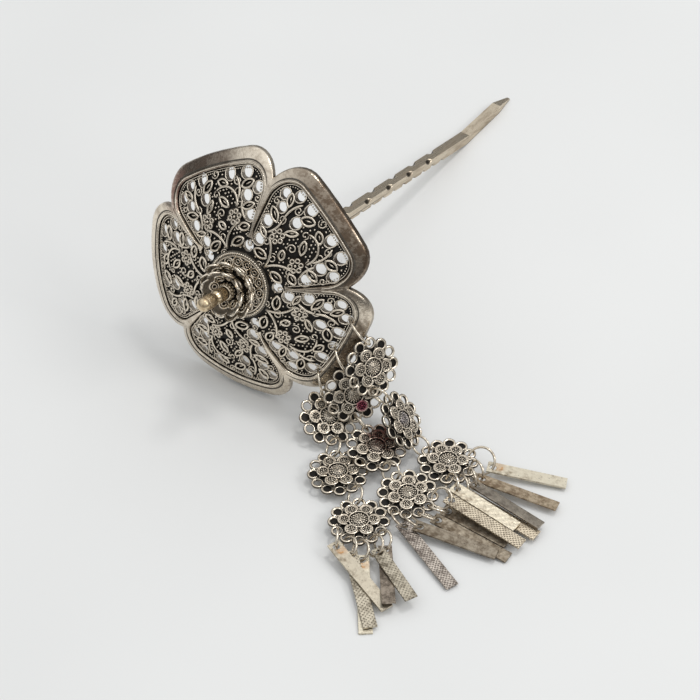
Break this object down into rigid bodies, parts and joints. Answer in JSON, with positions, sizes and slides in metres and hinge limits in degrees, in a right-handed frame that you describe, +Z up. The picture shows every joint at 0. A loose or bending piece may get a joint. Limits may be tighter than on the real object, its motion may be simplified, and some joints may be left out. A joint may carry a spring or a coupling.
{
  "type": "hair stick",
  "caption": "Antiqued metal hair stick: pierced filigree flower on a crimped square pin, brass finial, strands of small pierced discs ending in flat strips.",
  "frame": {"origin": "bottom centre of the whole as it lies on a table", "axes": "+Z up; the pin runs towards +Y and its point leans towards +X; the strands lie towards -Y"},
  "size_m": [0.0971, 0.1822, 0.0574],
  "materials": {
    "flower_metal": "antiqued satin",
    "cup_metal": "antiqued satin",
    "collar_metal": "polished",
    "finial_brass": "aged satin",
    "pin_metal": "antiqued satin",
    "disc_metal": "antiqued, dark recesses",
    "ring_wire": "polished wire",
    "strip_metal": "textured, worn"
  },
  "bodies": {
    "root": {"flower": "flower_metal", "lower_cup": "cup_metal", "upper_cup": "cup_metal", "collar": "collar_metal", "finial": "finial_brass", "pin": "pin_metal", "disc_a1": "disc_metal", "disc_a2": "disc_metal", "disc_a3": "disc_metal", "disc_b1": "disc_metal", "disc_b2": "disc_metal", "disc_b3": "disc_metal", "disc_c1": "disc_metal", "disc_c2": "disc_metal", "disc_c3": "disc_metal", "link_a1_a2": "ring_wire", "link_a2_a3": "ring_wire", "link_b1_b2": "ring_wire", "link_b2_b3": "ring_wire", "link_c1_c2": "ring_wire", "link_c2_c3": "ring_wire", "hanger_a": "ring_wire", "hanger_b": "ring_wire", "hanger_c": "ring_wire", "strip_a_a": "strip_metal", "strip_a_b": "strip_metal", "strip_a_c": "strip_metal", "strip_a_d": "strip_metal", "strip_a_e": "strip_metal", "strip_b_a": "strip_metal", "strip_b_b": "strip_metal", "strip_b_c": "strip_metal", "strip_b_d": "strip_metal", "strip_b_e": "strip_metal", "strip_c_a": "strip_metal", "strip_c_b": "strip_metal", "strip_c_c": "strip_metal", "strip_c_d": "strip_metal", "strip_c_e": "strip_metal", "strip_rings_a": "ring_wire", "strip_rings_b": "ring_wire", "strip_rings_c": "ring_wire"}
  },
  "joints": []
}
